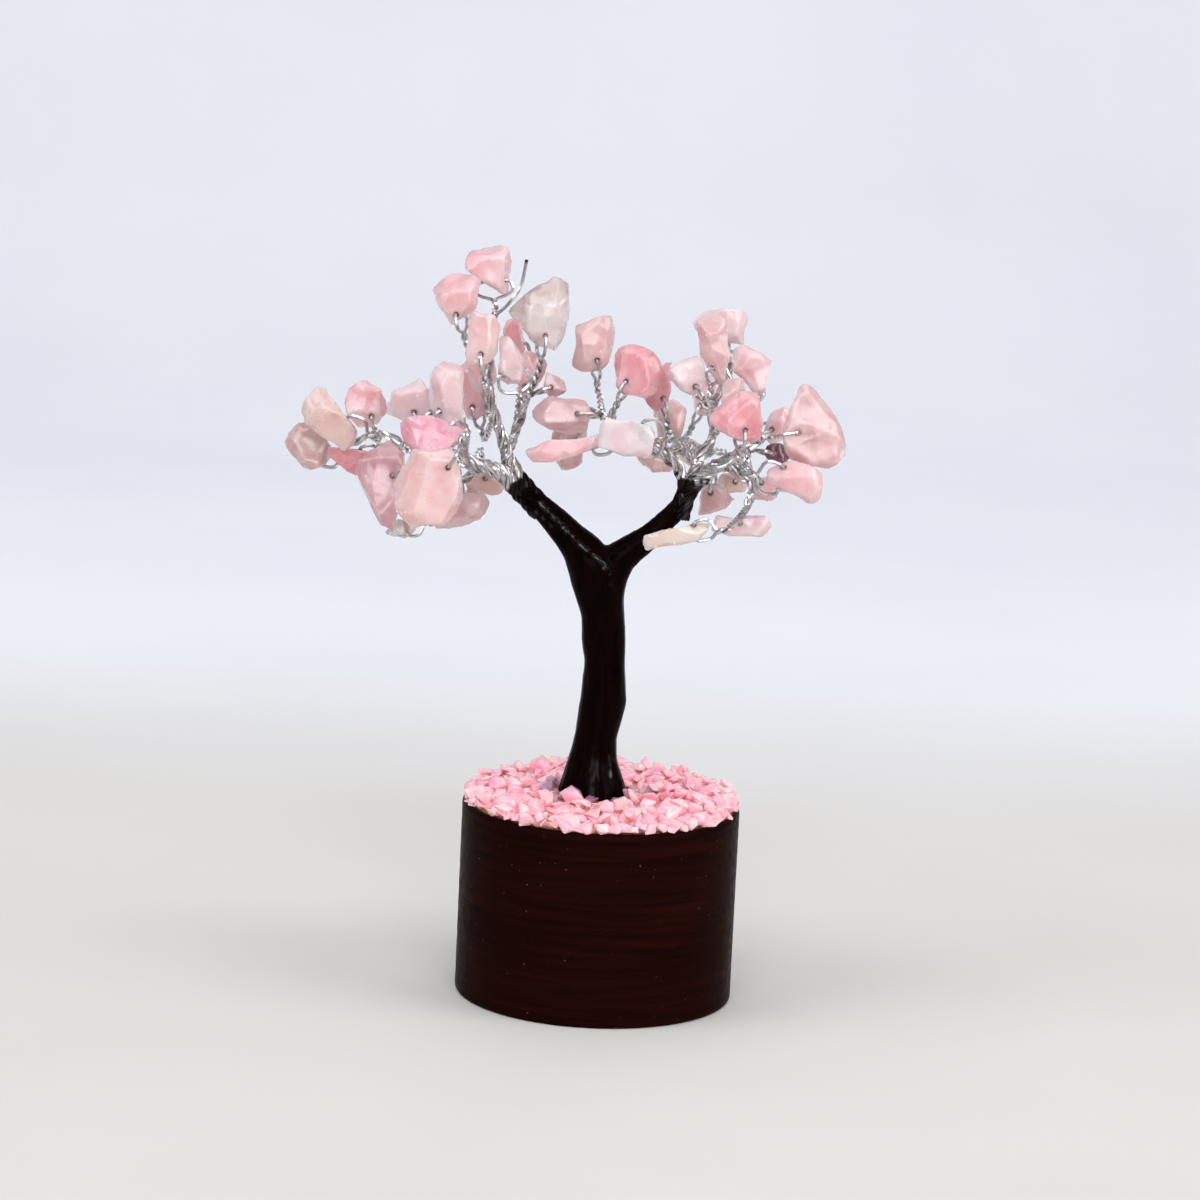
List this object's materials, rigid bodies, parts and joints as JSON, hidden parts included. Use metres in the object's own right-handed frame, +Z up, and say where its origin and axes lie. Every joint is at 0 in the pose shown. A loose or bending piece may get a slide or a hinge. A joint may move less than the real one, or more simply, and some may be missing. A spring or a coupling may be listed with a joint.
{
  "type": "gemstone tree ornament",
  "caption": "Miniature gem tree: drilled rose quartz chips hung on twisted silver wire twigs over a dark forked trunk, standing on a turned round base strewn with glued chips.",
  "frame": {"origin": "centre of the base's underside", "axes": "+Z up, front of the tree towards -Y, the longer side of the canopy towards -X"},
  "size_m": [0.0875, 0.044, 0.1185],
  "materials": {
    "brown_lacquered_wood": "dark brown lacquer with fine turning lines",
    "clear_glue": "clear set glue",
    "rose_quartz": "tumbled, waxy gloss, slightly translucent",
    "mauve_quartz": "tumbled, translucent purple brown",
    "clear_quartz": "tumbled, clear with veils",
    "silver_wire": "bright drawn craft wire",
    "dark_brown_coating": "glossy brushed-on coating"
  },
  "bodies": {
    "tree": {"base_block": "brown_lacquered_wood", "glue_bed": "clear_glue", "base_chips": "rose_quartz", "base_mauve_chips": "mauve_quartz", "trunk_core": "silver_wire", "trunk_cover": "dark_brown_coating", "left_crown_wires": "silver_wire", "left_reach_wires": "silver_wire", "right_inner_wires": "silver_wire", "right_crown_wires": "silver_wire", "right_reach_wires": "silver_wire"},
    "left_reach_chip_1": {"left_reach_chip_1": "rose_quartz"},
    "left_reach_chip_2": {"left_reach_chip_2": "rose_quartz"},
    "left_reach_chip_3": {"left_reach_chip_3": "rose_quartz"},
    "left_reach_chip_4": {"left_reach_chip_4": "rose_quartz"},
    "left_front_chip_1": {"left_front_chip_1": "rose_quartz"},
    "left_front_chip_2": {"left_front_chip_2": "rose_quartz"},
    "left_front_chip_3": {"left_front_chip_3": "rose_quartz"},
    "left_front_chip_4": {"left_front_chip_4": "clear_quartz"},
    "left_mid_chip_1": {"left_mid_chip_1": "rose_quartz"},
    "left_mid_chip_2": {"left_mid_chip_2": "rose_quartz"},
    "left_mid_chip_3": {"left_mid_chip_3": "rose_quartz"},
    "left_mid_chip_4": {"left_mid_chip_4": "rose_quartz"},
    "left_under_chip_1": {"left_under_chip_1": "rose_quartz"},
    "left_under_chip_2": {"left_under_chip_2": "rose_quartz"},
    "left_crown_chip_1": {"left_crown_chip_1": "rose_quartz"},
    "left_crown_chip_2": {"left_crown_chip_2": "rose_quartz"},
    "left_crown_chip_3": {"left_crown_chip_3": "clear_quartz"},
    "left_crown_chip_4": {"left_crown_chip_4": "rose_quartz"},
    "left_crown_chip_5": {"left_crown_chip_5": "rose_quartz"},
    "left_crown_chip_6": {"left_crown_chip_6": "rose_quartz"},
    "left_crown_chip_7": {"left_crown_chip_7": "rose_quartz"},
    "left_crown_chip_8": {"left_crown_chip_8": "rose_quartz"},
    "left_crown_chip_9": {"left_crown_chip_9": "rose_quartz"},
    "right_inner_chip_1": {"right_inner_chip_1": "rose_quartz"},
    "right_inner_chip_2": {"right_inner_chip_2": "rose_quartz"},
    "right_inner_chip_3": {"right_inner_chip_3": "rose_quartz"},
    "right_inner_chip_4": {"right_inner_chip_4": "rose_quartz"},
    "right_inner_chip_5": {"right_inner_chip_5": "rose_quartz"},
    "right_inner_chip_6": {"right_inner_chip_6": "rose_quartz"},
    "right_back_chip_1": {"right_back_chip_1": "rose_quartz"},
    "right_back_chip_2": {"right_back_chip_2": "rose_quartz"},
    "right_back_chip_3": {"right_back_chip_3": "rose_quartz"},
    "right_back_chip_4": {"right_back_chip_4": "rose_quartz"},
    "right_crown_chip_1": {"right_crown_chip_1": "rose_quartz"},
    "right_crown_chip_2": {"right_crown_chip_2": "rose_quartz"},
    "right_crown_chip_3": {"right_crown_chip_3": "rose_quartz"},
    "right_crown_chip_4": {"right_crown_chip_4": "rose_quartz"},
    "right_crown_chip_5": {"right_crown_chip_5": "rose_quartz"},
    "right_crown_chip_6": {"right_crown_chip_6": "rose_quartz"},
    "right_crown_chip_7": {"right_crown_chip_7": "rose_quartz"},
    "right_reach_chip_1": {"right_reach_chip_1": "rose_quartz"},
    "right_reach_chip_2": {"right_reach_chip_2": "rose_quartz"},
    "right_reach_chip_3": {"right_reach_chip_3": "mauve_quartz"},
    "right_reach_chip_4": {"right_reach_chip_4": "rose_quartz"},
    "right_under_chip_1": {"right_under_chip_1": "rose_quartz"},
    "right_under_chip_2": {"right_under_chip_2": "rose_quartz"},
    "right_under_chip_3": {"right_under_chip_3": "rose_quartz"},
    "right_under_chip_4": {"right_under_chip_4": "rose_quartz"},
    "right_under_chip_5": {"right_under_chip_5": "rose_quartz"}
  },
  "joints": [
    {"name": "left_reach_chip_1_swing", "type": "hinge", "parent": "tree", "child": "left_reach_chip_1", "pos_m": [-0.04686, 0.004, 0.08509], "axis": [0.1677, -0.2588, -0.9513], "range_deg": [-10, 10]},
    {"name": "left_reach_chip_2_swing", "type": "hinge", "parent": "tree", "child": "left_reach_chip_2", "pos_m": [-0.04253, -0.004, 0.08998], "axis": [-0.3304, 0.2588, -0.9077], "range_deg": [-10, 10]},
    {"name": "left_reach_chip_3_swing", "type": "hinge", "parent": "tree", "child": "left_reach_chip_3", "pos_m": [-0.03922, 0.006, 0.09023], "axis": [0.1632, -0.9848, 0.0594], "range_deg": [-10, 10]},
    {"name": "left_reach_chip_4_swing", "type": "hinge", "parent": "tree", "child": "left_reach_chip_4", "pos_m": [-0.04011, -0.0006, 0.08458], "axis": [0.0819, 0.342, -0.9361], "range_deg": [-10, 10]},
    {"name": "left_front_chip_1_swing", "type": "hinge", "parent": "tree", "child": "left_front_chip_1", "pos_m": [-0.03431, -0.0088, 0.08302], "axis": [-0.1094, -0.9659, 0.2346], "range_deg": [-10, 10]},
    {"name": "left_front_chip_2_swing", "type": "hinge", "parent": "tree", "child": "left_front_chip_2", "pos_m": [-0.02603, -0.0175, 0.08682], "axis": [0.1504, -0.9848, -0.0868], "range_deg": [-10, 10]},
    {"name": "left_front_chip_3_swing", "type": "hinge", "parent": "tree", "child": "left_front_chip_3", "pos_m": [-0.02783, -0.0115, 0.08922], "axis": [-0.633, -0.1736, -0.7544], "range_deg": [-10, 10]},
    {"name": "left_front_chip_4_swing", "type": "hinge", "parent": "tree", "child": "left_front_chip_4", "pos_m": [-0.03265, 0.001, 0.07346], "axis": [0.25, -0.2588, -0.933], "range_deg": [-10, 10]},
    {"name": "left_mid_chip_1_swing", "type": "hinge", "parent": "tree", "child": "left_mid_chip_1", "pos_m": [-0.03219, 0.0095, 0.09093], "axis": [-0.1422, -0.9848, -0.0996], "range_deg": [-10, 10]},
    {"name": "left_mid_chip_2_swing", "type": "hinge", "parent": "tree", "child": "left_mid_chip_2", "pos_m": [-0.02868, 0.002, 0.09173], "axis": [-0.9811, -0.1736, -0.0858], "range_deg": [-10, 10]},
    {"name": "left_mid_chip_3_swing", "type": "hinge", "parent": "tree", "child": "left_mid_chip_3", "pos_m": [-0.02678, -0.006, 0.09308], "axis": [-0.9513, -0.2588, 0.1677], "range_deg": [-10, 10]},
    {"name": "left_mid_chip_4_swing", "type": "hinge", "parent": "tree", "child": "left_mid_chip_4", "pos_m": [-0.02265, 0.0075, 0.09246], "axis": [-0.3304, -0.9397, -0.0885], "range_deg": [-10, 10]},
    {"name": "left_under_chip_1_swing", "type": "hinge", "parent": "tree", "child": "left_under_chip_1", "pos_m": [-0.02468, 0.0057, 0.07736], "axis": [-0.2578, -0.9659, -0.0226], "range_deg": [-10, 10]},
    {"name": "left_under_chip_2_swing", "type": "hinge", "parent": "tree", "child": "left_under_chip_2", "pos_m": [-0.021, 0.0095, 0.08056], "axis": [0.2549, -0.9659, 0.0449], "range_deg": [-10, 10]},
    {"name": "left_crown_chip_1_swing", "type": "hinge", "parent": "tree", "child": "left_crown_chip_1", "pos_m": [-0.02545, -0.0045, 0.10847], "axis": [-0.25, -0.9659, -0.067], "range_deg": [-10, 10]},
    {"name": "left_crown_chip_2_swing", "type": "hinge", "parent": "tree", "child": "left_crown_chip_2", "pos_m": [-0.02071, 0.0012, 0.11283], "axis": [-0.9775, -0.1736, -0.12], "range_deg": [-10, 10]},
    {"name": "left_crown_chip_3_swing", "type": "hinge", "parent": "tree", "child": "left_crown_chip_3", "pos_m": [-0.01273, 0.0031, 0.10482], "axis": [0.2587, -0.9659, -0.009], "range_deg": [-10, 10]},
    {"name": "left_crown_chip_4_swing", "type": "hinge", "parent": "tree", "child": "left_crown_chip_4", "pos_m": [-0.02144, -0.011, 0.10317], "axis": [-0.172, -0.9848, -0.0242], "range_deg": [-10, 10]},
    {"name": "left_crown_chip_5_swing", "type": "hinge", "parent": "tree", "child": "left_crown_chip_5", "pos_m": [-0.01678, -0.0045, 0.09973], "axis": [-0.9254, -0.1736, -0.3368], "range_deg": [-10, 10]},
    {"name": "left_crown_chip_6_swing", "type": "hinge", "parent": "tree", "child": "left_crown_chip_6", "pos_m": [-0.01681, 0.0115, 0.10188], "axis": [-0.9513, -0.2588, -0.1677], "range_deg": [-10, 10]},
    {"name": "left_crown_chip_7_swing", "type": "hinge", "parent": "tree", "child": "left_crown_chip_7", "pos_m": [-0.01479, 0.0068, 0.09591], "axis": [-0.25, -0.9659, 0.067], "range_deg": [-10, 10]},
    {"name": "left_crown_chip_8_swing", "type": "hinge", "parent": "tree", "child": "left_crown_chip_8", "pos_m": [-0.02135, 0.0025, 0.09649], "axis": [0.2549, -0.9659, 0.0449], "range_deg": [-10, 10]},
    {"name": "left_crown_chip_9_swing", "type": "hinge", "parent": "tree", "child": "left_crown_chip_9", "pos_m": [-0.01081, 0.004, 0.0962], "axis": [-0.0885, -0.9659, 0.2432], "range_deg": [-10, 10]},
    {"name": "right_inner_chip_1_swing", "type": "hinge", "parent": "tree", "child": "right_inner_chip_1", "pos_m": [-0.00443, 0.004, 0.10114], "axis": [0.2549, -0.9659, 0.0449], "range_deg": [-10, 10]},
    {"name": "right_inner_chip_2_swing", "type": "hinge", "parent": "tree", "child": "right_inner_chip_2", "pos_m": [0.00122, -0.002, 0.0987], "axis": [-0.2346, -0.9659, 0.1094], "range_deg": [-10, 10]},
    {"name": "right_inner_chip_3_swing", "type": "hinge", "parent": "tree", "child": "right_inner_chip_3", "pos_m": [-0.00664, 0, 0.0927], "axis": [0, -0.9659, 0.2588], "range_deg": [-10, 10]},
    {"name": "right_inner_chip_4_swing", "type": "hinge", "parent": "tree", "child": "right_inner_chip_4", "pos_m": [-0.0073, 0.011, 0.08712], "axis": [0.2432, -0.9659, -0.0885], "range_deg": [-10, 10]},
    {"name": "right_inner_chip_5_swing", "type": "hinge", "parent": "tree", "child": "right_inner_chip_5", "pos_m": [-0.00384, -0.006, 0.08861], "axis": [0.12, -0.1736, -0.9775], "range_deg": [-10, 10]},
    {"name": "right_inner_chip_6_swing", "type": "hinge", "parent": "tree", "child": "right_inner_chip_6", "pos_m": [0.00358, -0.012, 0.0916], "axis": [0, 0.1736, -0.9848], "range_deg": [-10, 10]},
    {"name": "right_back_chip_1_swing", "type": "hinge", "parent": "tree", "child": "right_back_chip_1", "pos_m": [0.00652, 0.009, 0.09474], "axis": [0.25, -0.9659, 0.067], "range_deg": [-10, 10]},
    {"name": "right_back_chip_2_swing", "type": "hinge", "parent": "tree", "child": "right_back_chip_2", "pos_m": [0.00805, 0.0146, 0.08886], "axis": [-0.3407, -0.9397, -0.0298], "range_deg": [-10, 10]},
    {"name": "right_back_chip_3_swing", "type": "hinge", "parent": "tree", "child": "right_back_chip_3", "pos_m": [0.00732, 0.01, 0.08562], "axis": [-0.0885, -0.9659, 0.2432], "range_deg": [-10, 10]},
    {"name": "right_back_chip_4_swing", "type": "hinge", "parent": "tree", "child": "right_back_chip_4", "pos_m": [0.01273, 0.0195, 0.0849], "axis": [0, -0.9659, -0.2588], "range_deg": [-10, 10]},
    {"name": "right_crown_chip_1_swing", "type": "hinge", "parent": "tree", "child": "right_crown_chip_1", "pos_m": [0.01128, -0.002, 0.09832], "axis": [0.212, -0.9659, 0.1485], "range_deg": [-10, 10]},
    {"name": "right_crown_chip_2_swing", "type": "hinge", "parent": "tree", "child": "right_crown_chip_2", "pos_m": [0.0156, 0.006, 0.10562], "axis": [-0.25, -0.9659, -0.067], "range_deg": [-10, 10]},
    {"name": "right_crown_chip_3_swing", "type": "hinge", "parent": "tree", "child": "right_crown_chip_3", "pos_m": [0.0138, -0.008, 0.10218], "axis": [-0.9848, -0.1736, 0], "range_deg": [-10, 10]},
    {"name": "right_crown_chip_4_swing", "type": "hinge", "parent": "tree", "child": "right_crown_chip_4", "pos_m": [0.01989, 0.002, 0.10032], "axis": [-0.633, 0.1736, 0.7544], "range_deg": [-10, 10]},
    {"name": "right_crown_chip_5_swing", "type": "hinge", "parent": "tree", "child": "right_crown_chip_5", "pos_m": [0.01863, -0.013, 0.09386], "axis": [0.2587, -0.9659, -0.009], "range_deg": [-10, 10]},
    {"name": "right_crown_chip_6_swing", "type": "hinge", "parent": "tree", "child": "right_crown_chip_6", "pos_m": [0.01328, 0.0184, 0.09245], "axis": [-0.31, -0.9397, 0.1445], "range_deg": [-10, 10]},
    {"name": "right_crown_chip_7_swing", "type": "hinge", "parent": "tree", "child": "right_crown_chip_7", "pos_m": [0.01688, -0.0035, 0.09627], "axis": [0.2432, -0.9659, -0.0885], "range_deg": [-10, 10]},
    {"name": "right_reach_chip_1_swing", "type": "hinge", "parent": "tree", "child": "right_reach_chip_1", "pos_m": [0.02762, -0.007, 0.09263], "axis": [-0.0361, -0.9848, 0.1699], "range_deg": [-10, 10]},
    {"name": "right_reach_chip_2_swing", "type": "hinge", "parent": "tree", "child": "right_reach_chip_2", "pos_m": [0.02397, 0.01, 0.09092], "axis": [0.0885, -0.9659, -0.2432], "range_deg": [-10, 10]},
    {"name": "right_reach_chip_3_swing", "type": "hinge", "parent": "tree", "child": "right_reach_chip_3", "pos_m": [0.0242, 0.003, 0.08758], "axis": [0.0449, -0.9659, 0.2549], "range_deg": [-10, 10]},
    {"name": "right_reach_chip_4_swing", "type": "hinge", "parent": "tree", "child": "right_reach_chip_4", "pos_m": [0.02515, -0.012, 0.08585], "axis": [0.1677, -0.2588, 0.9513], "range_deg": [-10, 10]},
    {"name": "right_under_chip_1_swing", "type": "hinge", "parent": "tree", "child": "right_under_chip_1", "pos_m": [0.02257, 0.006, 0.08242], "axis": [0.1983, -0.9659, 0.1664], "range_deg": [-10, 10]},
    {"name": "right_under_chip_2_swing", "type": "hinge", "parent": "tree", "child": "right_under_chip_2", "pos_m": [0.0153, 0.009, 0.08017], "axis": [-0.2588, -0.9659, 0], "range_deg": [-10, 10]},
    {"name": "right_under_chip_3_swing", "type": "hinge", "parent": "tree", "child": "right_under_chip_3", "pos_m": [0.01864, 0.017, 0.08096], "axis": [0.2432, -0.9659, -0.0885], "range_deg": [-10, 10]},
    {"name": "right_under_chip_4_swing", "type": "hinge", "parent": "tree", "child": "right_under_chip_4", "pos_m": [0.01964, -0.0045, 0.07778], "axis": [-0.1677, -0.9848, 0.0449], "range_deg": [-10, 10]},
    {"name": "right_under_chip_5_swing", "type": "hinge", "parent": "tree", "child": "right_under_chip_5", "pos_m": [0.01241, -0.014, 0.0771], "axis": [0.2048, 0.1736, -0.9633], "range_deg": [-10, 10]}
  ]
}
